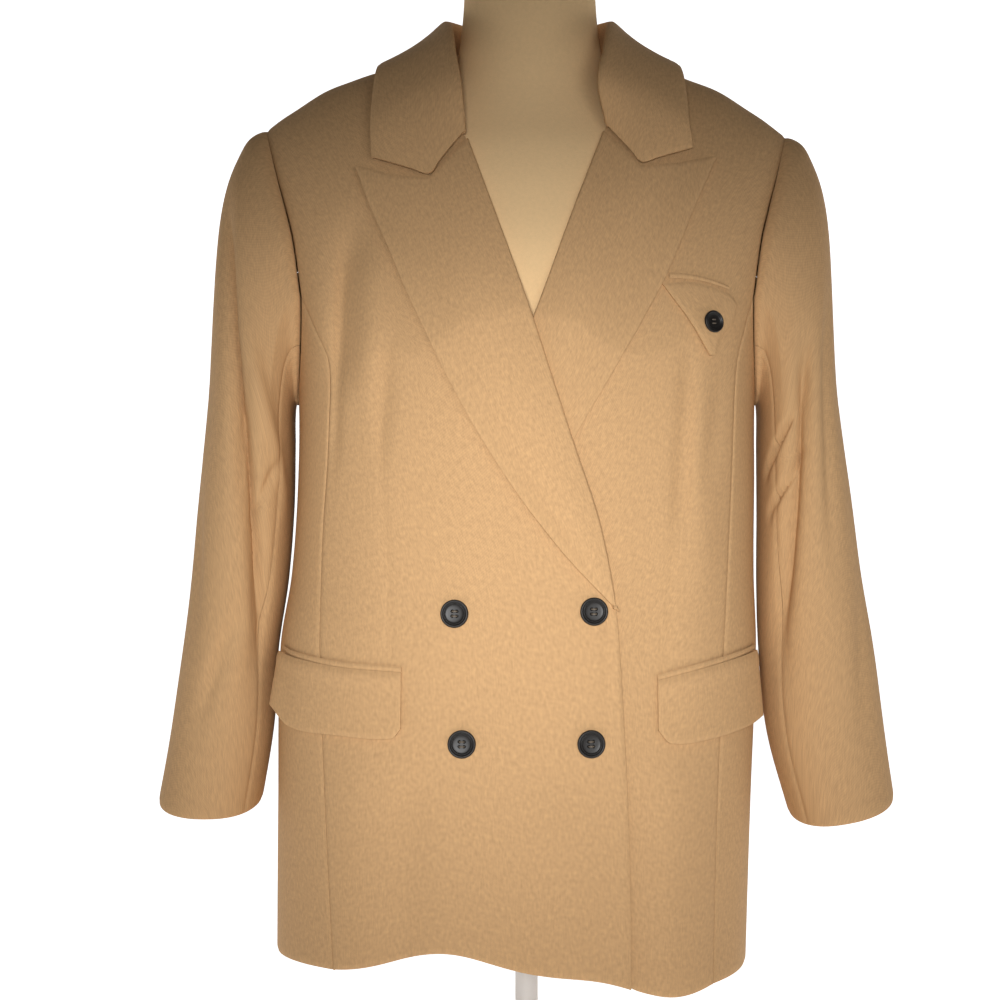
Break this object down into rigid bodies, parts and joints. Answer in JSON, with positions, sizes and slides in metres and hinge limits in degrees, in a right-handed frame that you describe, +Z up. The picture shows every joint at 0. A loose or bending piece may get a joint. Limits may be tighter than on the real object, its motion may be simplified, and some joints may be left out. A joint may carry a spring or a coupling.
{
  "type": "double-breasted blazer on a dress form",
  "caption": "Hip-length double-breasted blazer with wide peak lapels, hip pocket flaps and a small breast flap, on a limbless dress form with a pole and round base.",
  "frame": {"origin": "centre of the bounding box on the floor, under the stand", "axes": "+Z up, the blazer's front faces -Y, and +X is the wearer's left"},
  "size_m": [0.6536, 0.3366, 0.9783],
  "materials": {
    "suiting": "plain camel suiting, fine dull weave",
    "button_resin": "dark resin with a soft shine",
    "form_cover": "pale beige jersey cover",
    "white_metal": "plain white powder coat"
  },
  "bodies": {
    "root": {"right_front": "suiting", "left_front": "suiting", "right_side_panel": "suiting", "left_side_panel": "suiting", "right_back": "suiting", "left_back": "suiting", "right_under_sleeve": "suiting", "right_upper_sleeve": "suiting", "left_under_sleeve": "suiting", "left_upper_sleeve": "suiting", "right_lapel": "suiting", "left_lapel": "suiting", "collar": "suiting", "right_hip_welt": "suiting", "left_hip_welt": "suiting", "right_hip_flap": "suiting", "left_hip_flap": "suiting", "breast_welt": "suiting", "breast_flap": "suiting", "button_top_right": "button_resin", "button_top_left": "button_resin", "button_low_right": "button_resin", "button_low_left": "button_resin", "button_breast": "button_resin", "form_torso": "form_cover", "neck_cap": "white_metal", "stand_pole": "white_metal", "stand_base": "white_metal"}
  },
  "joints": []
}
